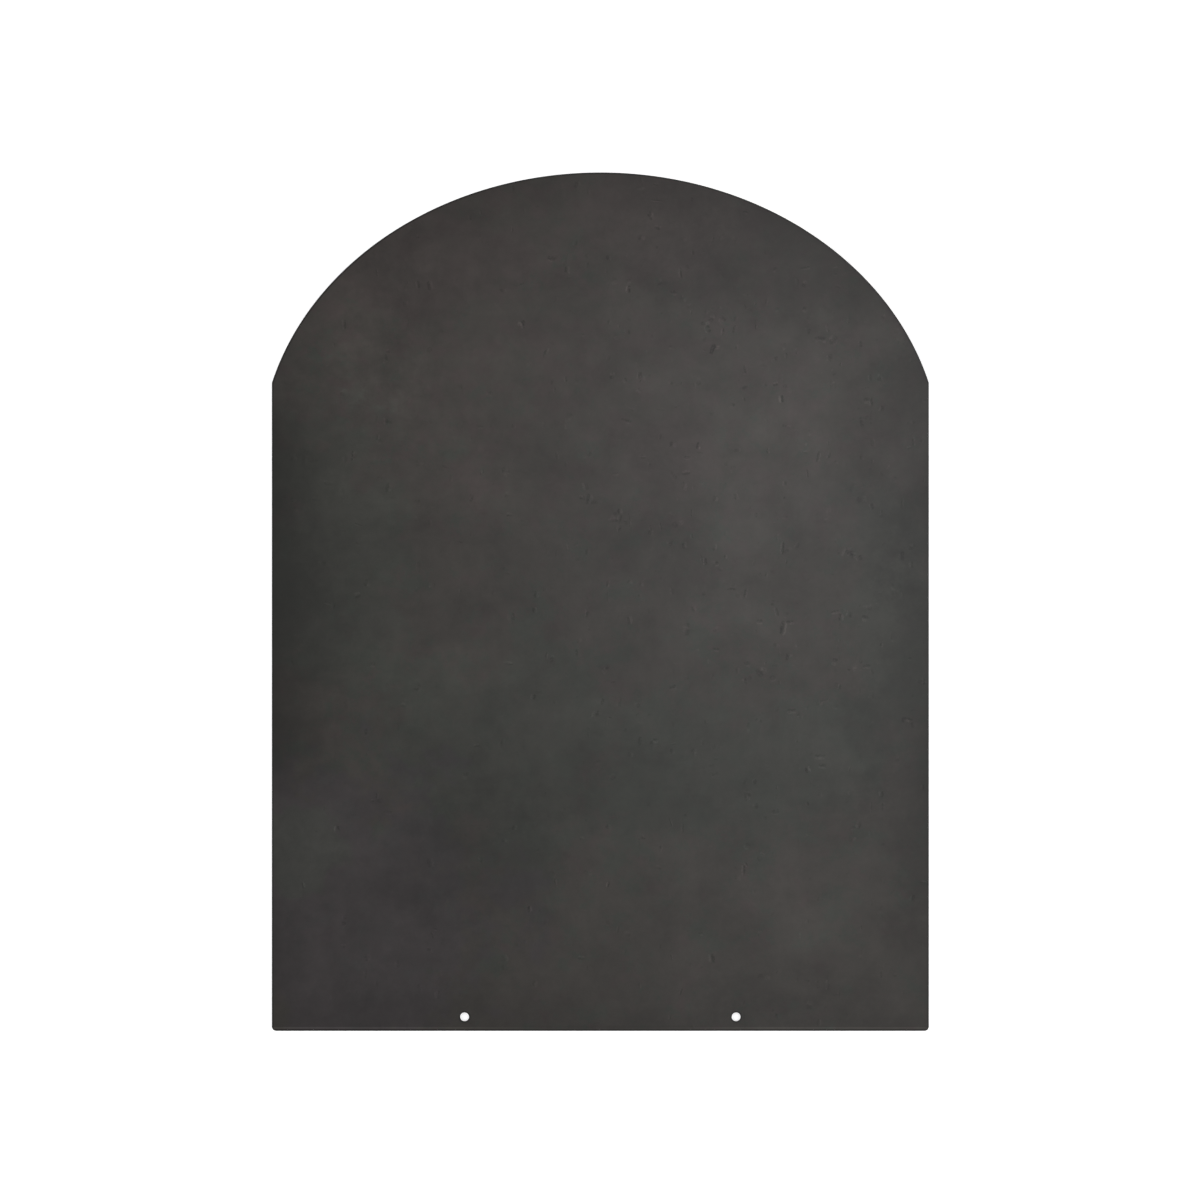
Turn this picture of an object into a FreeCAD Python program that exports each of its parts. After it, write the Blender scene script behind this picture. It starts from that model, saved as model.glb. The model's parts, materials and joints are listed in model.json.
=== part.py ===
# Stove floor protector: a flat steel sheet with an elliptical arch for its front edge and two holes
# along its straight rear edge, lying on self-adhesive rubber pads.
# Units are millimetres. +Z is up, +Y runs from the rear edge to the crown of the arch, and the origin
# is on the floor under the middle of the sheet.
import FreeCAD, Part

import math
import os

from FreeCAD import Vector

# Steel sheet
SHEET_WIDTH = 750.0
SIDE_LENGTH = 740.0  # straight sides, from the rear edge to the shoulders
ARCH_RISE = 240.0  # from the shoulders to the crown of the arch
ARCH_OVERHANG = 14.0  # how far beyond each side the arch's full ellipse would reach
SHEET_THICKNESS = 2.0
REAR_CORNER_RADIUS = 5.0
EDGE_BREAK = 0.3  # chamfer that deburring leaves on every rim

# Holes along the rear edge
HOLE_DIAMETER = 10.0
HOLE_SPACING = 310.0
HOLE_FROM_REAR = 16.0

# Rubber pads under the sheet
PAD_DIAMETER = 20.0
PAD_HEIGHT = 1.5
PAD_RIM_CHAMFER = 0.5  # on the floor side
PAD_FROM_EDGE = 20.0  # bare steel between a pad and the edge of the sheet
PADS_ON_ARCH = ("shoulder_right", "haunch_right", "crown", "haunch_left", "shoulder_left")

# Places worked out from the sizes above
HALF_WIDTH = SHEET_WIDTH / 2
SHEET_DEPTH = SIDE_LENGTH + ARCH_RISE
REAR_Y = -SHEET_DEPTH / 2
SHOULDER_Y = REAR_Y + SIDE_LENGTH
SHEET_BOTTOM = PAD_HEIGHT
PAD_INSET = PAD_FROM_EDGE + PAD_DIAMETER / 2

# The arch's ellipse: half axes, centre and the angle at which it meets the right-hand side
ARCH_HALF_WIDTH = HALF_WIDTH + ARCH_OVERHANG
SHOULDER_ANGLE = math.acos(HALF_WIDTH / ARCH_HALF_WIDTH)
ARCH_HALF_HEIGHT = ARCH_RISE / (1 - math.sin(SHOULDER_ANGLE))
ARCH_CENTRE_Y = SHOULDER_Y + ARCH_RISE - ARCH_HALF_HEIGHT


def arch_point(angle, inset=0.0):
    """Point of the arch at an angle of its ellipse, moved inwards by inset along the edge's normal."""
    x = ARCH_HALF_WIDTH * math.cos(angle)
    y = ARCH_HALF_HEIGHT * math.sin(angle)
    normal = Vector(math.cos(angle) / ARCH_HALF_WIDTH, math.sin(angle) / ARCH_HALF_HEIGHT, 0)
    return Vector(x, ARCH_CENTRE_Y + y, 0) - normal.normalize() * inset


def arch_edge():
    """The front edge, from the right shoulder over the crown to the left shoulder."""
    centre = Vector(0, ARCH_CENTRE_Y, 0)
    right = centre + Vector(ARCH_HALF_WIDTH, 0, 0)
    left = centre - Vector(ARCH_HALF_WIDTH, 0, 0)
    crown = centre + Vector(0, ARCH_HALF_HEIGHT, 0)
    # The ellipse is named by its long half axis first, whichever way the arch is drawn.
    wide = ARCH_HALF_WIDTH >= ARCH_HALF_HEIGHT
    ellipse = Part.Ellipse(right, crown, centre) if wide else Part.Ellipse(crown, left, centre)
    start = ellipse.parameter(arch_point(SHOULDER_ANGLE))
    end = ellipse.parameter(arch_point(math.pi - SHOULDER_ANGLE))
    if end < start:
        end += 2 * math.pi
    return Part.ArcOfEllipse(ellipse, start, end).toShape()


def rear_corner(side):
    """The rounded rear corner on one side: +1 is right, -1 is left."""
    radius = REAR_CORNER_RADIUS
    centre = Vector(side * (HALF_WIDTH - radius), REAR_Y + radius, 0)
    on_rear = centre + Vector(0, -radius, 0)
    middle = centre + Vector(side, -1, 0).normalize() * radius
    on_side = centre + Vector(side * radius, 0, 0)
    return Part.Arc(on_rear, middle, on_side).toShape()


def sheet_outline():
    """The closed outline of the sheet, seen from above."""
    rear_left = Vector(-HALF_WIDTH + REAR_CORNER_RADIUS, REAR_Y, 0)
    rear_right = Vector(HALF_WIDTH - REAR_CORNER_RADIUS, REAR_Y, 0)
    edges = [Part.makeLine(rear_left, rear_right), arch_edge()]
    for side in (1, -1):
        low = Vector(side * HALF_WIDTH, REAR_Y + REAR_CORNER_RADIUS, 0)
        shoulder = Vector(side * HALF_WIDTH, SHOULDER_Y, 0)
        edges += [rear_corner(side), Part.makeLine(low, shoulder)]
    return Part.Wire(Part.__sortEdges__(edges))


def floor_sheet():
    """The steel sheet with its two holes and every rim deburred."""
    sheet = Part.Face(sheet_outline()).extrude(Vector(0, 0, SHEET_THICKNESS))
    for side in (1, -1):
        place = Vector(side * HOLE_SPACING / 2, REAR_Y + HOLE_FROM_REAR, 0)
        sheet = sheet.cut(Part.makeCylinder(HOLE_DIAMETER / 2, SHEET_THICKNESS, place))
    rims = [edge for edge in sheet.Edges if edge.BoundBox.ZLength < EDGE_BREAK / 2]
    sheet = sheet.makeChamfer(EDGE_BREAK, rims)
    sheet.translate(Vector(0, 0, SHEET_BOTTOM))
    return sheet


def pad(place):
    """One round pad standing on the floor, with its flat top against the sheet."""
    radius = PAD_DIAMETER / 2
    section = Part.makePolygon([
        Vector(0, 0, 0),
        Vector(radius - PAD_RIM_CHAMFER, 0, 0),
        Vector(radius, 0, PAD_RIM_CHAMFER),
        Vector(radius, 0, PAD_HEIGHT),
        Vector(0, 0, PAD_HEIGHT),
        Vector(0, 0, 0),
    ])
    disc = Part.Face(section).revolve(Vector(0, 0, 0), Vector(0, 0, 1), 360)
    disc.translate(place)
    return disc


def pad_places():
    """Where each named pad stands: along the rear, the sides and the arch, and one in the middle."""
    column = HALF_WIDTH - PAD_INSET
    rear = REAR_Y + PAD_INSET
    waist = REAR_Y + SIDE_LENGTH / 2
    places = {
        "rear_left": Vector(-column, rear, 0),
        "rear_middle": Vector(0, rear, 0),
        "rear_right": Vector(column, rear, 0),
        "side_left": Vector(-column, waist, 0),
        "side_right": Vector(column, waist, 0),
        "centre": Vector(0, waist, 0),
    }
    step = (math.pi - 2 * SHOULDER_ANGLE) / (len(PADS_ON_ARCH) - 1)
    for index, name in enumerate(PADS_ON_ARCH):
        places[name] = arch_point(SHOULDER_ANGLE + index * step, PAD_INSET)
    return places


def main():
    os.makedirs("parts", exist_ok=True)
    nodes = {"floor_sheet": floor_sheet()}
    for name, place in pad_places().items():
        nodes["pad_" + name] = pad(place)
    for name, shape in nodes.items():
        shape.exportStep(f"parts/{name}.step")
        print(name, "valid" if shape.isValid() else "INVALID", round(shape.Volume, 1))


main()
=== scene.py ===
# Looks of the stove floor protector: a dark steel sheet with an arched front, lying on rubber pads.
# Everything is in metres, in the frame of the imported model: +Z up, +Y towards the crown of the arch.
import json
import math

import bmesh
import bpy
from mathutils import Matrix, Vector, geometry


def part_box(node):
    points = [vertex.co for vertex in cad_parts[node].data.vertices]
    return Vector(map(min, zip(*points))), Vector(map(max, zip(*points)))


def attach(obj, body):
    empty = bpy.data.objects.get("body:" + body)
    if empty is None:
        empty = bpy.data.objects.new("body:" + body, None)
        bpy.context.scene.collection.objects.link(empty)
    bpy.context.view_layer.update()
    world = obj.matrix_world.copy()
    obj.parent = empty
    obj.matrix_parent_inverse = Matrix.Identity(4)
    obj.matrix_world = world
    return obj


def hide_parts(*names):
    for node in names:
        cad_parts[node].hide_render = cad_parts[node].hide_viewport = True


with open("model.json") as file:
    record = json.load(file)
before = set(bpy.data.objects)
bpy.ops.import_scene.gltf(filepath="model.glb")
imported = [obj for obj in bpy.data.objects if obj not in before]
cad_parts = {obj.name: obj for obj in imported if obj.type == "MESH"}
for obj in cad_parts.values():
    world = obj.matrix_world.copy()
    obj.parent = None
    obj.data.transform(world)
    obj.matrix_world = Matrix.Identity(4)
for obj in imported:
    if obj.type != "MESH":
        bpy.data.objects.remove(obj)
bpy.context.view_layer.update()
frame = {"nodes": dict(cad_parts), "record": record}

# Outline of the sheet; its width, its height and its rear edge come from the frame
SIDE_LENGTH = 0.740
ARCH_RISE = 0.240
ARCH_OVERHANG = 0.014
REAR_CORNER_RADIUS = 0.005
RIM_RADIUS = 0.0003

# How finely the sheet is divided, and how many grid spacings stay clear along its edge and round its holes
ARCH_STEPS = 240
CORNER_STEPS = 8
HOLE_STEPS = 56
RIM_STEPS = 3
GRID_SPACING = 0.025
EDGE_CLEARANCE = 0.6
HOLE_CLEARANCE = 0.3

# How the sheet's surface is spread over a square texture: the columns that its parts take, from 0 to 1.
# The rims are cut into upright strips, of whose width they fill a share.
LAYOUT_NAME = "OFBake"
LAYOUT_TOP = (0.004, 0.614)
LAYOUT_UNDERSIDE = (0.922, 0.622)
LAYOUT_RIMS = (0.930, 0.996)
LAYOUT_ROWS = (0.004, 0.996)
RIM_STRIPS = 4
RIM_STRIP_FILL = 0.8

# The photo is square, looks straight down and is this wide at the sheet
PHOTO_WIDTH = 1.3698
PHOTO_CENTRE = (-0.0004, 0.0019)
LENS = 85.0
SENSOR = 36.0

# Colours of the steel, its cut edge and the rubber
STEEL = (0.0390, 0.0350, 0.0310, 1)
STEEL_GREEN = (0.0338, 0.0362, 0.0306, 1)
STEEL_VIOLET = (0.0388, 0.0337, 0.0364, 1)
STEEL_ROSE = (0.0414, 0.0336, 0.0315, 1)
CUT_STEEL = (0.043, 0.042, 0.040, 1)
CUT_STEEL_RUBBED = (0.085, 0.083, 0.079, 1)
RUBBER = (0.016, 0.016, 0.016, 1)
RUBBER_DUST = (0.045, 0.043, 0.040, 1)

# Coloured stains of the steel: colour, centre, and reach sideways and lengthways
STAINS = (
    (STEEL_GREEN, (-0.32, 0.05), (0.14, 0.20)),
    (STEEL_GREEN, (-0.11, -0.18), (0.18, 0.15)),
    (STEEL_GREEN, (0.16, -0.19), (0.20, 0.09)),
    (STEEL_GREEN, (0.33, 0.00), (0.06, 0.16)),
    (STEEL_VIOLET, (-0.31, -0.36), (0.24, 0.23)),
    (STEEL_GREEN, (-0.33, -0.28), (0.06, 0.06)),
    (STEEL_ROSE, (-0.20, 0.38), (0.16, 0.09)),
    (STEEL_ROSE, (0.10, 0.44), (0.14, 0.08)),
    (STEEL_ROSE, (0.08, 0.16), (0.07, 0.06)),
)
STAIN_STRENGTH = 0.65

# Coloured specks: colour, place in the noise, size, and the centre and reach of the area where they gather.
# They show where the noise passes an edge, which is the more often, the more they gather.
SPECKS = (
    (STEEL_GREEN, (14, 3, 0), 0.05, (0.00, -0.18), (0.50, 0.26)),
    (STEEL_ROSE, (17, 8, 0), 0.04, (0.05, 0.34), (0.52, 0.38)),
)
SPECKS_DETAIL = 6.0
SPECKS_ROUGHNESS = 0.85
SPECKS_GATHERING = 0.06
SPECKS_EDGE = (0.56, 0.59)

# Lighter and darker patches: tone, centre, and reach sideways and lengthways. Most are large clouds of the
# patina;
# the first two are painted shade along the right edge, where the lights' reflection falls off, and the one
# at (0.20, 0.19) is a painted highlight where the key light's reflection is brightest
PATCHES_AND_PAINTED_LIGHT = (
    # painted shade along the right edge
    (0.86, (0.40, 0.16), (0.12, 0.20)),
    (0.86, (0.38, -0.15), (0.10, 0.22)),
    (1.14, (-0.34, 0.36), (0.14, 0.14)),
    (0.87, (0.24, 0.41), (0.18, 0.12)),
    (1.06, (-0.13, 0.28), (0.13, 0.16)),
    (1.08, (-0.25, 0.16), (0.12, 0.08)),
    # painted highlight where the key light's reflection is brightest
    (1.07, (0.20, 0.19), (0.10, 0.06)),
    (0.92, (0.28, 0.08), (0.09, 0.07)),
    (0.93, (0.02, 0.05), (0.14, 0.07)),
    (1.06, (-0.19, -0.07), (0.11, 0.07)),
    (0.92, (0.00, -0.21), (0.28, 0.06)),
    (0.90, (-0.15, -0.30), (0.12, 0.08)),
    (1.12, (-0.34, -0.28), (0.06, 0.06)),
    (1.05, (0.27, -0.33), (0.10, 0.08)),
    (0.91, (0.20, -0.44), (0.08, 0.05)),
)

# Where the border of a stain, patch or area lies and over what it fades out to either side, as shares of the
# reach, and how far a ragged noise moves it
BORDER = 0.75
STAIN_FADE = 0.10
SHADE_FADE = 0.45
AREA_FADE = 0.6
RAGGEDNESS = 3.0

# Layers of the patina, from the largest: place in the noise; size, detail, roughness and distortion; the
# noise's values at which the tone rises, and by how much; and how softly it does so
PATINA = (
    ((54, 58, 0), (0.09, 8.0, 0.72, 0.3), (0.40, 0.46, 0.52, 0.58), 0.03),
    ((9, 4, 0), (0.055, 7.0, 0.72, 0.2), (0.42, 0.5, 0.58), 0.028),
    ((4, 8, 0), (0.016, 4.0, 0.6, 0.2), (0.4, 0.5, 0.6), 0.02),
)
PATINA_SOFTNESS = 0.025

# Marks on the steel: cell, length, width, range of tilt, strength, and the share of cells that have a mark
# where the sheet is most marked. They gather round a centre, thin out over a reach to the least share, and
# form knots that hold more of them.
MARKS = (
    (0.012, 0.0055, 0.0020, (1.3, 1.9), 0.27, 0.20),
    (0.017, 0.0053, 0.0019, (-0.3, 0.3), 0.25, 0.20),
    (0.014, 0.0033, 0.0032, (0.0, 3.1), 0.20, 0.17),
    (0.100, 0.0066, 0.0024, (1.1, 2.0), 0.38, 0.50),
)
MARKS_CENTRE = (0.22, 0.09)
MARKS_REACH = (0.34, 0.56)
MARKS_LEAST = 0.45
KNOT_SIZE = 0.035
KNOT_CROWD = (0.2, 2.2)

# A mark's real size as shares of the stated one, how far it bends and over what length, the size of the
# crumbs that break it up, how soft its border is, how many widths beside it a painted highlight may lie,
# which stands for the lit side of a pit, and that highlight's share of its strength
MARK_SIZES = (0.4, 1.3)
MARK_BEND = 0.0024
MARK_BEND_LENGTH = 0.003
MARK_CRUMBS = 0.0022
MARK_BORDER = (0.2, 1.2)
HIGHLIGHT_ASIDE = 2.5
HIGHLIGHT_SHARE = 0.85

# Ragged darker band along all edges: width, tone at the edge, and how far its border strays
BAND_WIDTH = 0.06
BAND_TONE = 0.90
BAND_RAGGEDNESS = 0.05

# Broader dark strip of painted shade along the left edge, where the lights' reflection falls off: the same,
# and where its middle and its fading ends lie
STRIP_WIDTH = 0.105
STRIP_TONE = 0.77
STRIP_RAGGEDNESS = 0.1
STRIP_MIDDLE = 0.01
STRIP_HALF_LENGTH = 0.20
STRIP_FADE = 0.05

# Thin dark line that cutting leaves along every edge
CUT_LINE_WIDTH = 0.0030
CUT_LINE_TONE = 0.50

# Thin light line painted along the rear edge as a highlight on its lip, and where it fades in on the way to
# the corners
GLINT_INSET = 0.0034
GLINT_WIDTH = 0.0016
GLINT_TONE = 1.38
GLINT_FROM = (0.03, 0.20)

# The tone is raised to this power in the steel's colour, because the gloss over it is even
TONE_CONTRAST = 2.0

# Finest traits of the steel: how far wiping stretches its streaks, the size and height of the grain, and the
# roughness where the largest layer of patina is dark and where it is light
WIPING_STRETCH = (0.22, 1, 1)
GRAIN_SIZE = 0.0012
GRAIN_HEIGHT = 0.02
STEEL_ROUGHNESS = (0.37, 0.33)

# Floor: half its width, its own glow near the sheet, and where it fades into the room
FLOOR_HALF_WIDTH = 30.0
FLOOR_GLOW = 0.55
FLOOR_FADE = (1.2, 4.0)

# Room: brightness of its walls and ceiling, and the upward slopes between which one turns into the other
ROOM_WHITE = 0.95
ROOM_CEILING = 0.08
ROOM_SLOPES = (0.05, 0.75)

# Soft lights: place, width and length, and power
LIGHTS = {
    "strip": ((0.53, -0.20, 4.0), (0.5, 2.6), 9.5),
    "key": ((0.45, 0.42, 3.9), (0.5, 0.5), 4.5),
    "left_fill": ((-3.2, 0.0, 2.6), (2.4, 2.4), 72.0),
    "right_fill": ((3.2, 0.0, 2.6), (2.4, 2.4), 72.0),
}


def link(piece):
    """Puts a new object into the scene."""
    bpy.context.scene.collection.objects.link(piece)
    return piece


class Arch:
    """The sheet's straight edges and the ellipse of its front edge, worked out from its box."""

    def __init__(self):
        low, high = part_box("floor_sheet")
        self.half_width = high.x
        self.rear = low.y
        self.reach_x = self.half_width + ARCH_OVERHANG
        self.shoulder_angle = math.acos(self.half_width / self.reach_x)
        self.reach_y = ARCH_RISE / (1 - math.sin(self.shoulder_angle))
        self.centre = self.rear + SIDE_LENGTH + ARCH_RISE - self.reach_y

    def point(self, share):
        """Point of the arch, from the right shoulder at share 0 to the left one at share 1."""
        angle = self.shoulder_angle + (math.pi - 2 * self.shoulder_angle) * share
        return Vector((self.reach_x * math.cos(angle), self.centre + self.reach_y * math.sin(angle)))


def rear_holes():
    """The fixing holes that the record states: half their spacing, the Y of their line, and their radius."""
    mount = next(m for m in frame["record"]["mounts"] if m["name"] == "rear_holes")
    sizes = mount["dims"]
    return sizes["spacing_x_mm"] / 2000, mount["pos_m"][1], sizes["hole_r_mm"] / 1000


class Shader:
    """A material's node tree, built by short calls.

    An input is a number, a tuple or another node's output.
    """

    def __init__(self, name):
        self.material = bpy.data.materials.new(name)
        self.material.use_nodes = True
        self.tree = self.material.node_tree
        self.tree.nodes.clear()

    def add(self, kind, inputs, output=0, **settings):
        node = self.tree.nodes.new(kind)
        for name, value in settings.items():
            setattr(node, name, value)
        for name, value in inputs.items():
            if isinstance(value, bpy.types.NodeSocket):
                self.tree.links.new(value, node.inputs[name])
            else:
                node.inputs[name].default_value = value
        return node.outputs[output]

    def maths(self, operation, *values):
        return self.add("ShaderNodeMath", dict(enumerate(values)), operation=operation)

    def vector(self, operation, *values):
        return self.add("ShaderNodeVectorMath", dict(enumerate(values)), operation=operation)

    def measure(self, operation, *values):
        """A vector's length or the distance between two."""
        inputs = dict(enumerate(values))
        return self.add("ShaderNodeVectorMath", inputs, output="Value", operation=operation)

    def between(self, share, low, high):
        """The value that lies at a share from 0 to 1 of the way between two."""
        return self.maths("MULTIPLY_ADD", share, high - low, low)

    def remap(self, value, low, high, to_low=0.0, to_high=1.0):
        """A smooth step from one range to another."""
        inputs = {"Value": value, 1: low, 2: high, 3: to_low, 4: to_high}
        return self.add("ShaderNodeMapRange", inputs, interpolation_type="SMOOTHSTEP")

    def mix(self, factor, first, second):
        inputs = {0: factor, 6: first, 7: second}
        return self.add("ShaderNodeMix", inputs, output=2, data_type="RGBA")

    def axes(self, place):
        return self.add("ShaderNodeSeparateXYZ", {"Vector": place}).node.outputs

    def place(self):
        return self.add("ShaderNodeTexCoord", {}, output="Object")

    def moved(self, place, shift=(0, 0, 0), stretch=(1, 1, 1)):
        return self.add("ShaderNodeMapping", {"Vector": place, "Location": shift, "Scale": stretch})

    def noise(self, place, size, detail=2.0, roughness=0.5, distortion=0.0):
        """Noise from 0 to 1 whose largest features are about size metres across."""
        inputs = {"Vector": place, "Scale": 1 / size, "Detail": detail}
        inputs |= {"Roughness": roughness, "Distortion": distortion}
        return self.add("ShaderNodeTexNoise", inputs)

    def swing(self, noise, reach):
        """A factor around 1 that follows a noise and leaves 1 by at most about reach."""
        return self.remap(noise, 0.25, 0.75, 1 - reach, 1 + reach)

    def bump(self, height, distance, strength):
        inputs = {"Height": height, "Distance": distance, "Strength": strength}
        return self.add("ShaderNodeBump", inputs)

    def finish(self, shine):
        """Ends the tree with a surface of these settings, and returns the material."""
        surface = self.add("ShaderNodeBsdfPrincipled", shine)
        output = self.tree.nodes.new("ShaderNodeOutputMaterial")
        self.tree.links.new(surface, output.inputs["Surface"])
        return self.material


def product(shader, factors):
    """All factors multiplied together."""
    result = factors[0]
    for factor in factors[1:]:
        result = shader.maths("MULTIPLY", result, factor)
    return result


def stain(shader, flat, ragged, centre, reach, fade):
    """A stain with a ragged border, from 0 outside to 1 in its middle."""
    offset = shader.vector("DIVIDE", shader.vector("SUBTRACT", flat, (*centre, 0)), (*reach, 1))
    warped = shader.maths("MULTIPLY_ADD", ragged, RAGGEDNESS, shader.measure("LENGTH", offset))
    return shader.remap(warped, BORDER - fade, BORDER + fade, 1.0, 0.0)


def steel_colour(shader, flat, ragged):
    """The steel's own grey with green and rosy specks, each gathered in its own area, and larger stains."""
    colour = STEEL
    for tint, shift, size, centre, reach in SPECKS:
        noise = shader.noise(shader.moved(flat, shift), size, SPECKS_DETAIL, SPECKS_ROUGHNESS)
        crowd = stain(shader, flat, ragged, centre, reach, AREA_FADE)
        specks = shader.maths("MULTIPLY_ADD", crowd, SPECKS_GATHERING, noise)
        colour = shader.mix(shader.remap(specks, *SPECKS_EDGE), colour, tint)
    for tint, centre, reach in STAINS:
        share = stain(shader, flat, ragged, centre, reach, STAIN_FADE)
        colour = shader.mix(shader.maths("MULTIPLY", share, STAIN_STRENGTH), colour, tint)
    return colour


def steel_patina(shader, flat):
    """Layers of a wiped patina, whose tone rises in steps: (factors of the tone, noises behind them)."""
    factors = []
    noises = []
    for shift, settings, rises, step in PATINA:
        noise = shader.noise(shader.moved(flat, shift), *settings)
        factor = 1.0
        for rise in rises:
            ends = (rise - PATINA_SOFTNESS, rise + PATINA_SOFTNESS)
            factor = shader.maths("ADD", shader.remap(noise, *ends, -step / 2, step / 2), factor)
        factors.append(factor)
        noises.append(noise)
    return factors, noises


def steel_patches_and_painted_light(shader, flat, ragged):
    """Factors of the tone for the lighter and darker patches: clouds of the patina, painted shade along the
    right edge and a painted highlight over the right half.
    """
    factors = []
    for tone, centre, reach in PATCHES_AND_PAINTED_LIGHT:
        share = stain(shader, flat, ragged, centre, reach, SHADE_FADE)
        factors.append(shader.between(share, 1.0, tone))
    return factors


def marks(shader, place, crowd, cell, length, width, tilt):
    """Scattered short marks, at most one to a cell: (dark strokes, painted highlights beside them)."""
    inputs = {"Vector": place, "Scale": 1 / cell}
    cells = shader.add("ShaderNodeTexVoronoi", inputs, output="Position", voronoi_dimensions="2D")
    # Three random numbers come from a cell's colour, and two more from the colour's further digits
    chance = shader.add("ShaderNodeSeparateColor", {"Color": cells.node.outputs["Color"]}).node.outputs
    luck = [shader.maths("FRACT", shader.maths("MULTIPLY", chance[i], 17.0)) for i in (1, 2)]

    crooked = shader.noise(place, MARK_BEND_LENGTH).node.outputs["Color"]
    bend = shader.vector("SUBTRACT", crooked, (0.5, 0.5, 0.5))
    offset = shader.vector("SUBTRACT", place, cells)
    offset = shader.vector("MULTIPLY_ADD", bend, (MARK_BEND, MARK_BEND, 0), offset)
    turn = {"Vector": offset, "Angle": shader.between(chance[1], *tilt)}
    axes = shader.axes(shader.add("ShaderNodeVectorRotate", turn, rotation_type="Z_AXIS"))
    small, large = MARK_SIZES
    along = shader.maths("DIVIDE", axes[0], shader.between(chance[2], small * length, large * length))
    across = shader.maths("DIVIDE", axes[1], shader.between(luck[0], small * width, large * width))
    beside = shader.between(luck[1], -HIGHLIGHT_ASIDE, HIGHLIGHT_ASIDE)

    chosen = shader.remap(shader.maths("SUBTRACT", crowd, chance[0]), 0.0, 0.25)
    crumbs = shader.remap(shader.noise(place, MARK_CRUMBS), 0.34, 0.54)
    chosen = shader.maths("MULTIPLY", chosen, crumbs)
    strokes = []
    for aside in (across, shader.maths("ADD", across, beside)):
        squared = shader.maths("MULTIPLY", aside, aside)
        rounded = shader.maths("ADD", shader.maths("POWER", along, 4), squared)
        strokes.append(shader.maths("MULTIPLY", chosen, shader.remap(rounded, *MARK_BORDER, 1.0, 0.0)))
    return strokes


def steel_marks(shader, flat, ragged):
    """Small pits and scratches, each with a painted highlight beside it: (factors of the tone, how high the
    surface stands).
    """
    busy = stain(shader, flat, ragged, MARKS_CENTRE, MARKS_REACH, AREA_FADE)
    knots = shader.noise(shader.moved(flat, (31, 7, 0)), KNOT_SIZE, 3.0, 0.6)
    crowd = shader.between(busy, MARKS_LEAST, 1.0)
    crowd = shader.maths("MULTIPLY", crowd, shader.remap(knots, 0.44, 0.62, *KNOT_CROWD))
    factors = []
    height = 0.0
    for index, (cell, length, width, tilt, strength, share) in enumerate(MARKS):
        place = shader.moved(flat, (3 * index + 1, 9 - 2 * index, 0))
        local_crowd = shader.maths("MULTIPLY", crowd, share)
        dark, light = marks(shader, place, local_crowd, cell, length, width, tilt)
        factors.append(shader.between(dark, 1.0, 1 - strength))
        # painted highlight beside the mark, where the lit side of a pit would be
        factors.append(shader.between(light, 1.0, 1 + strength * HIGHLIGHT_SHARE))
        height = shader.maths("MULTIPLY_ADD", dark, -strength, height)
    return factors, height


def edge_distance(shader, place):
    """Roughly how far a point lies inside the sheet's edge."""
    arch = Arch()
    axes = shader.axes(place)
    sideways = shader.maths("ABSOLUTE", axes[0])
    from_side = shader.maths("SUBTRACT", arch.half_width, sideways)
    from_rear = shader.maths("SUBTRACT", axes[1], arch.rear)
    upward = shader.maths("MAXIMUM", shader.maths("SUBTRACT", axes[1], arch.centre), 0.0)
    shares = [shader.maths("DIVIDE", sideways, arch.reach_x), shader.maths("DIVIDE", upward, arch.reach_y)]
    squares = [shader.maths("MULTIPLY", share, share) for share in shares]
    radius = shader.maths("SQRT", shader.maths("ADD", *squares))
    from_arch = shader.maths("MULTIPLY", shader.maths("SUBTRACT", 1.0, radius), arch.reach_y)
    return shader.maths("MINIMUM", shader.maths("MINIMUM", from_side, from_rear), from_arch)


def hole_distance(shader, place):
    """How far a point lies outside the rim of the nearer hole."""
    half_spacing, line, radius = rear_holes()
    axes = shader.axes(place)
    folded = shader.add("ShaderNodeCombineXYZ", {"X": shader.maths("ABSOLUTE", axes[0]), "Y": axes[1]})
    return shader.maths("SUBTRACT", shader.measure("DISTANCE", folded, (half_spacing, line, 0)), radius)


def left_painted_shade(shader, place, ragged):
    """A factor for the strip of painted shade along the left edge, which fades out at both of its ends."""
    axes = shader.axes(place)
    astray = shader.maths("MULTIPLY", ragged, STRIP_RAGGEDNESS)
    from_edge = shader.maths("ADD", shader.maths("ADD", axes[0], Arch().half_width), astray)
    across = shader.remap(from_edge, 0.0, STRIP_WIDTH, 1.0, 0.0)
    away = shader.maths("ABSOLUTE", shader.maths("SUBTRACT", axes[1], STRIP_MIDDLE))
    ends = (STRIP_HALF_LENGTH - STRIP_FADE, STRIP_HALF_LENGTH + STRIP_FADE)
    along = shader.remap(shader.maths("ADD", away, astray), *ends, 1.0, 0.0)
    return shader.between(shader.maths("MULTIPLY", across, along), 1.0, STRIP_TONE)


def painted_glint_line(shader, place):
    """A factor for the painted highlight line along the rear edge."""
    axes = shader.axes(place)
    away = shader.maths("ABSOLUTE", shader.maths("SUBTRACT", axes[1], Arch().rear + GLINT_INSET))
    line = shader.remap(away, 0.0, GLINT_WIDTH, 1.0, 0.0)
    outward = shader.remap(shader.maths("ABSOLUTE", axes[0]), *GLINT_FROM)
    return shader.between(shader.maths("MULTIPLY", line, outward), 1.0, GLINT_TONE)


def steel_edges(shader, place, ragged):
    """Factors of the tone along the edges: the band, the cut line, the left strip of painted shade and the
    painted highlight line along the rear edge.
    """
    edge = edge_distance(shader, place)
    band = shader.maths("MULTIPLY_ADD", ragged, BAND_RAGGEDNESS, edge)
    cut = shader.maths("MINIMUM", edge, hole_distance(shader, place))
    return [
        shader.remap(band, 0.0, BAND_WIDTH, BAND_TONE, 1.0),
        shader.remap(cut, 0.0, CUT_LINE_WIDTH, CUT_LINE_TONE, 1.0),
        # painted shade: a darker strip along the left edge
        left_painted_shade(shader, place, ragged),
        # painted highlight: a light line along the rear edge
        painted_glint_line(shader, place),
    ]


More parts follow.
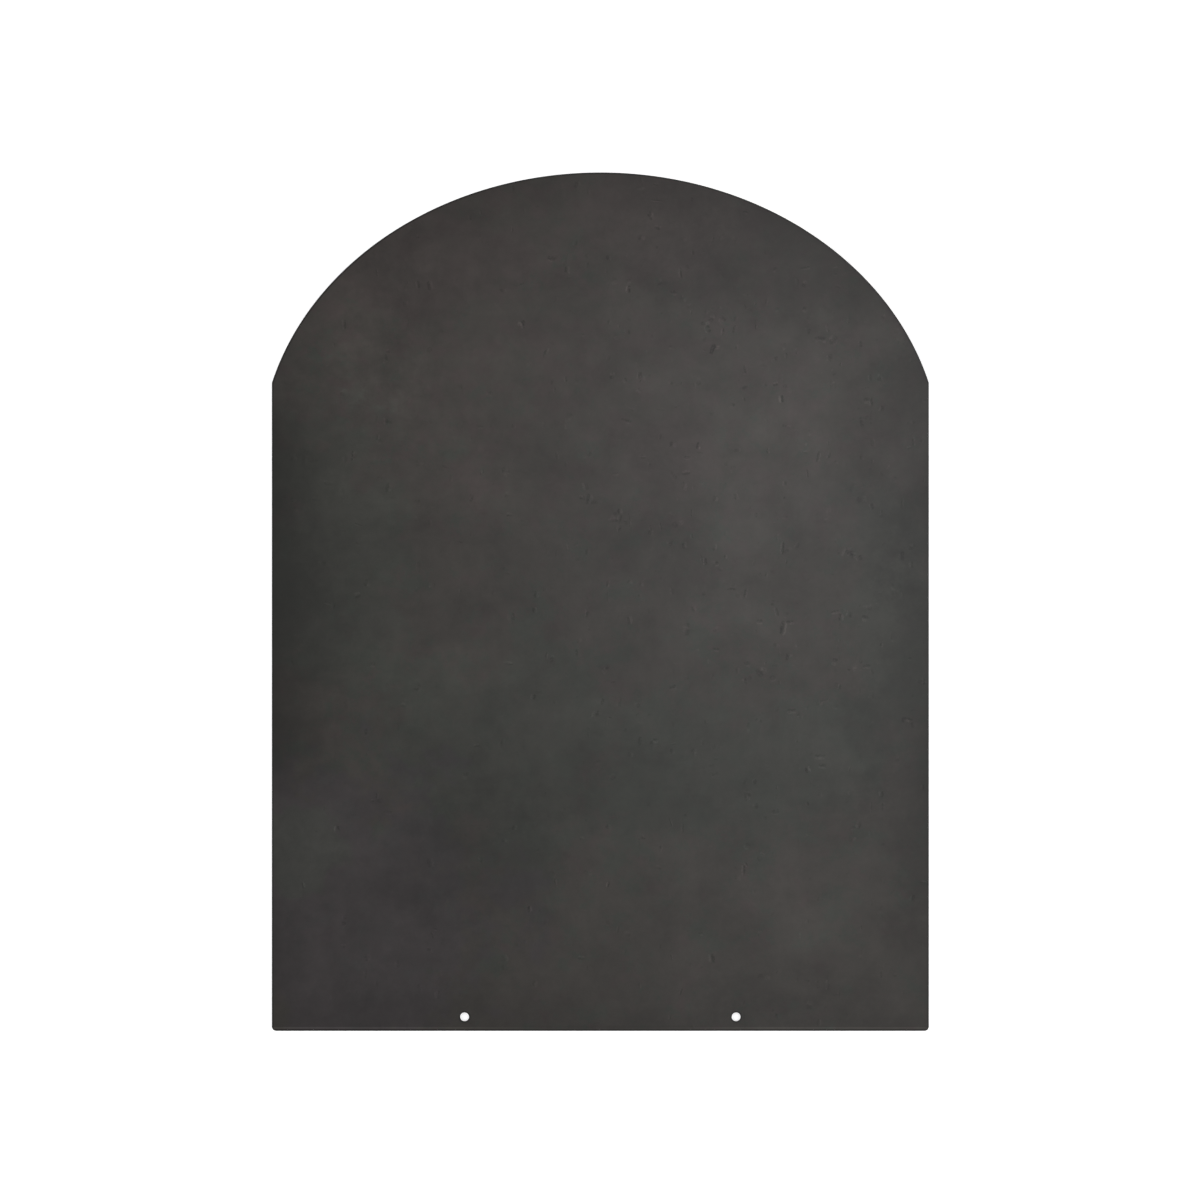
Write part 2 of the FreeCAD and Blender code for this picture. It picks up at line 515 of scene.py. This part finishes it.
def steel_material():
    """Dark steel with a thin wiped patina: clouded, stained, darker at the edges, pitted and scratched; on
    it are painted shade along the left and right edges and painted highlights over the right half, beside
    the marks and along the rear edge.
    """
    shader = Shader("dark_steel_surface")
    place = shader.place()
    flat = shader.moved(place, stretch=(1, 1, 0))
    wiping = shader.noise(shader.moved(flat, (7, 2, 0), WIPING_STRETCH), 0.016, 4.0, 0.6)
    grain = shader.noise(place, GRAIN_SIZE)
    # A noise around 0, by which every border strays
    ragged = shader.maths("SUBTRACT", shader.noise(shader.moved(flat, (11, 5, 0)), 0.11, 9.0, 0.72), 0.5)

    factors, height = steel_marks(shader, flat, ragged)
    factors += steel_edges(shader, place, ragged)
    layers, noises = steel_patina(shader, flat)
    factors += layers
    factors += [shader.swing(wiping, 0.012), shader.swing(grain, 0.01)]
    factors += steel_patches_and_painted_light(shader, flat, ragged)
    tone = shader.maths("POWER", product(shader, factors), TONE_CONTRAST)
    height = shader.maths("MULTIPLY_ADD", grain, GRAIN_HEIGHT, height)
    return shader.finish({
        "Base Color": shader.vector("MULTIPLY", steel_colour(shader, flat, ragged), tone),
        "Roughness": shader.remap(noises[0], 0.25, 0.75, *STEEL_ROUGHNESS),
        "Normal": shader.bump(height, 0.0002, 0.6),
    })


def cut_edge_material():
    """The cut edge of the sheet: the same dark finish, rubbed lighter in places, with fine upright lines."""
    shader = Shader("dark_steel_edge")
    place = shader.place()
    lines = shader.noise(shader.moved(place, stretch=(1, 1, 0.02)), 0.0008)
    rub = shader.noise(place, 0.03, 4.0, 0.6)
    colour = shader.mix(shader.remap(rub, 0.45, 0.75), CUT_STEEL, CUT_STEEL_RUBBED)
    return shader.finish({
        "Base Color": shader.vector("MULTIPLY", colour, shader.swing(lines, 0.15)),
        "Roughness": shader.remap(rub, 0.3, 0.7, 0.48, 0.36),
        "Normal": shader.bump(lines, 0.00015, 0.5),
    })


def rubber_material():
    """Black pad rubber, matt, with a fine grain and a little pale dust."""
    shader = Shader("pad_rubber_surface")
    place = shader.place()
    grain = shader.noise(place, 0.0006, 3.0, 0.6)
    dust = shader.noise(place, 0.006, 5.0, 0.65)
    colour = shader.mix(shader.remap(dust, 0.5, 0.8), RUBBER, RUBBER_DUST)
    return shader.finish({
        "Base Color": shader.vector("MULTIPLY", colour, shader.swing(grain, 0.15)),
        "Roughness": shader.remap(dust, 0.3, 0.8, 0.7, 0.92),
        "Normal": shader.bump(grain, 0.0002, 0.5),
    })


def floor_material():
    """A plain pale floor, lit a little from below as a photo table is, that fades into the room's white."""
    shader = Shader("pale_floor")
    far = shader.remap(shader.measure("LENGTH", shader.place()), *FLOOR_FADE)
    return shader.finish({
        "Base Color": shader.mix(far, (0.92, 0.92, 0.92, 1), (0.05, 0.05, 0.05, 1)),
        "Roughness": 0.9,
        "Specular IOR Level": 0.0,
        "Emission Color": (1, 1, 1, 1),
        "Emission Strength": shader.remap(far, 0.0, 1.0, FLOOR_GLOW, ROOM_WHITE),
    })


def arc(centre, radius, start, end, steps):
    """Points of a round arc, both ends included."""
    angles = [start + (end - start) * step / steps for step in range(steps + 1)]
    return [centre + Vector((math.cos(angle), math.sin(angle))) * radius for angle in angles]


def divided(start, end):
    """Points along a straight line at about the grid's spacing, without its ends."""
    count = max(1, round((end - start).length / GRID_SPACING))
    return [start.lerp(end, step / count) for step in range(1, count)]


def sheet_outline():
    """The sheet's outer edge seen from above, counter-clockwise from the left rear corner."""
    shape = Arch()
    radius = REAR_CORNER_RADIUS
    column = shape.half_width - radius
    line = shape.rear + radius
    left = arc(Vector((-column, line)), radius, math.pi, 1.5 * math.pi, CORNER_STEPS)
    right = arc(Vector((column, line)), radius, 1.5 * math.pi, 2 * math.pi, CORNER_STEPS)
    arch = [shape.point(step / ARCH_STEPS) for step in range(ARCH_STEPS + 1)]
    points = left + divided(left[-1], right[0]) + right + divided(right[-1], arch[0])
    return points + arch + divided(arch[-1], left[0])


def hole_outlines():
    """The holes' edges, clockwise."""
    half_spacing, line, radius = rear_holes()
    centres = [Vector((side * half_spacing, line)) for side in (-1, 1)]
    return [arc(centre, radius, 2 * math.pi, 0, HOLE_STEPS)[:-1] for centre in centres]


def inset(points, distance):
    """A closed outline moved into the sheet, which lies to the left of its edges."""
    moved = []
    for before, point, after in zip(points[-1:] + points[:-1], points, points[1:] + points[:1]):
        first = (point - before).orthogonal().normalized()
        second = (after - point).orthogonal().normalized()
        moved.append(point + (first + second) * (distance / (1 + first.dot(second))))
    return moved


def inside(point, outline):
    """True if a point lies within a closed outline."""
    crossings = 0
    for start, end in zip(outline, outline[1:] + outline[:1]):
        if (start.y > point.y) != (end.y > point.y):
            crossings += point.x < start.x + (end.x - start.x) * (point.y - start.y) / (end.y - start.y)
    return crossings % 2 == 1


def grid_points(outer, holes):
    """Points of a staggered grid that lie well within the outer outline and clear of the holes."""
    room = inset(outer, GRID_SPACING * EDGE_CLEARANCE)
    low = Vector((min(p.x for p in outer), min(p.y for p in outer)))
    high = Vector((max(p.x for p in outer), max(p.y for p in outer)))
    columns = round((high.x - low.x) / GRID_SPACING)
    rows = round((high.y - low.y) / GRID_SPACING)
    points = []
    for row in range(1, rows):
        for column in range(columns):
            share = (column + 0.25 + 0.5 * (row % 2)) / columns
            point = Vector((low.x + (high.x - low.x) * share, low.y + (high.y - low.y) * row / rows))
            near = any(
                inside(point, hole) or min((point - p).length for p in hole) <= GRID_SPACING * HOLE_CLEARANCE
                for hole in holes
            )
            if not near and inside(point, room):
                points.append(point)
    return points


def face_triangles(outlines):
    """An even net of triangles between the outlines: (points, triangles), the outlines' points first."""
    outer, *holes = outlines
    points = [point for outline in outlines for point in outline]
    edges = []
    first = 0
    for outline in outlines:
        edges += [(first + i, first + (i + 1) % len(outline)) for i in range(len(outline))]
        first += len(outline)
    points += grid_points(outer, holes)
    within_edges = 1
    same_point = 1e-7
    spots, _, net, sources, *_ = geometry.delaunay_2d_cdt(points, edges, [], within_edges, same_point)
    triangles = []
    for triangle in net:
        middle = sum((spots[i] for i in triangle), Vector((0, 0))) / 3
        if not any(inside(middle, hole) for hole in holes):
            triangles.append([sources[i][0] for i in triangle])
    return points, triangles


def rim_levels(bottom, top):
    """The rounded rim from the top to the underside: how far in and how high each ring of points lies."""
    levels = []
    for step in range(RIM_STEPS + 1):
        angle = math.pi / 2 * step / RIM_STEPS
        levels.append((RIM_RADIUS * (1 - math.sin(angle)), RIM_RADIUS * (1 - math.cos(angle))))
    upper = [(inward, top - drop) for inward, drop in levels]
    lower = [(inward, bottom + drop) for inward, drop in reversed(levels)]
    return upper + lower


def rim_stretches(outlines):
    """Where each outline's edges lie in the rims' strips: (strip, start, end), as shares of a strip."""
    lengths = [[(after - point).length for point, after in zip(o, o[1:] + o[:1])] for o in outlines]
    strip_length = sum(map(sum, lengths)) / RIM_STRIPS
    room = strip_length + max(map(max, lengths))
    run = 0.0
    stretches = [[] for outline in outlines]
    for places, edges in zip(stretches, lengths):
        for length in edges:
            strip, start = divmod(run, strip_length)
            places.append((strip, start / room, (start + length) / room))
            run += length
    return stretches


def lay_out(face, layout, columns, rows):
    """Gives each corner of a face its place in the layout: how far across and along, from 0 to 1."""
    low, high = LAYOUT_ROWS
    for corner, across, along in zip(face.loops, columns, rows):
        corner[layout].uv = (across, low + (high - low) * along)


def rim_faces(work, layout, rings, stretches):
    """The faces of all rims, between rings of points that follow each other from top to underside."""
    strip_width = (LAYOUT_RIMS[1] - LAYOUT_RIMS[0]) / RIM_STRIPS
    for ring, places in zip(rings, stretches):
        step = RIM_STRIP_FILL * strip_width / (len(ring) - 1)
        for level, (upper, lower) in enumerate(zip(ring, ring[1:])):
            for i, (strip, start, end) in enumerate(places):
                j = (i + 1) % len(upper)
                face = work.faces.new((upper[i], lower[i], lower[j], upper[j]))
                face.material_index = 1
                face.smooth = True
                near = LAYOUT_RIMS[0] + strip_width * strip + step * level
                lay_out(face, layout, (near, near + step, near + step, near), (start, start, end, end))


def flat_face(work, layout, corners, triangles, columns, box):
    """The top or the underside, from its triangles."""
    low, high = box
    left, right = columns
    for triangle in triangles:
        face = work.faces.new([corners[i] for i in triangle])
        places = [corner.vert.co for corner in face.loops]
        across = [left + (right - left) * (p.x - low.x) / (high.x - low.x) for p in places]
        lay_out(face, layout, across, [(p.y - low.y) / (high.y - low.y) for p in places])


def steel_sheet():
    """The sheet with a smooth arch and rounded rims, in the place of its CAD node."""
    low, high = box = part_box("floor_sheet")
    outlines = [sheet_outline()] + hole_outlines()
    levels = rim_levels(low.z, high.z)
    work = bmesh.new()
    layout = work.loops.layers.uv.new(LAYOUT_NAME)
    rings = []
    for outline in outlines:
        rings.append([[work.verts.new((*p, z)) for p in inset(outline, inward)] for inward, z in levels])
    rim_faces(work, layout, rings, rim_stretches(outlines))
    points, triangles = face_triangles([inset(outline, RIM_RADIUS) for outline in outlines])
    rim_count = sum(len(outline) for outline in outlines)
    for level, z, order, columns in ((0, high.z, 1, LAYOUT_TOP), (-1, low.z, -1, LAYOUT_UNDERSIDE)):
        corners = [vertex for ring in rings for vertex in ring[level]]
        corners += [work.verts.new((*p, z)) for p in points[rim_count:]]
        flat_face(work, layout, corners, [triangle[::order] for triangle in triangles], columns, box)
    mesh = bpy.data.meshes.new("steel_sheet")
    work.to_mesh(mesh)
    work.free()
    mesh.materials.append(steel_material())
    mesh.materials.append(cut_edge_material())
    return link(bpy.data.objects.new("steel_sheet", mesh))


def dress_pads():
    """Gives every pad of the frame its rubber."""
    rubber = rubber_material()
    for name, node in frame["nodes"].items():
        if name.startswith("pad_"):
            node.material_slots[0].material = rubber


def pale_floor():
    """A wide floor under the pads."""
    mesh = bpy.data.meshes.new("floor")
    half = FLOOR_HALF_WIDTH
    corners = [(-half, -half, 0), (half, -half, 0), (half, half, 0), (-half, half, 0)]
    mesh.from_pydata(corners, [], [(0, 1, 2, 3)])
    mesh.materials.append(floor_material())
    return link(bpy.data.objects.new("floor", mesh))


def softbox(name, place, size, power):
    """A flat soft light, size wide and long, turned about Y to face the sheet's middle line."""
    light = bpy.data.lights.new(name, "AREA")
    light.shape = "RECTANGLE"
    light.size, light.size_y = size
    light.energy = power
    lamp = link(bpy.data.objects.new(name, light))
    lamp.location = place
    lamp.rotation_euler.y = math.atan2(place[0], place[2])


def room():
    """A room with pale walls and a dark ceiling."""
    world = bpy.data.worlds.new("room")
    world.use_nodes = True
    tree = world.node_tree
    background = tree.nodes["Background"]
    direction = tree.nodes.new("ShaderNodeTexCoord")
    parts = tree.nodes.new("ShaderNodeSeparateXYZ")
    ramp = tree.nodes.new("ShaderNodeMapRange")
    ramp.inputs["From Min"].default_value = ROOM_SLOPES[0]
    ramp.inputs["From Max"].default_value = ROOM_SLOPES[1]
    ramp.inputs["To Min"].default_value = ROOM_WHITE
    ramp.inputs["To Max"].default_value = ROOM_CEILING
    tree.links.new(direction.outputs["Generated"], parts.inputs["Vector"])
    tree.links.new(parts.outputs["Z"], ramp.inputs["Value"])
    tree.links.new(ramp.outputs["Result"], background.inputs["Color"])
    bpy.context.scene.world = world


def studio():
    """Soft light from above the right half and from both sides, in a pale room."""
    for name, (place, size, power) in LIGHTS.items():
        softbox(name, place, size, power)
    room()


def camera(top):
    """A camera straight above the sheet, framed as the photo is."""
    data = bpy.data.cameras.new("camera")
    data.lens = LENS
    data.sensor_width = SENSOR
    lens = link(bpy.data.objects.new("camera", data))
    lens.location = (*PHOTO_CENTRE, top + PHOTO_WIDTH * LENS / SENSOR)
    bpy.context.scene.camera = lens


sheet = steel_sheet()
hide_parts("floor_sheet")
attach(sheet, "root")
dress_pads()
pale_floor()
studio()
camera(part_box("floor_sheet")[1].z)
bpy.context.scene.view_settings.view_transform = "Standard"
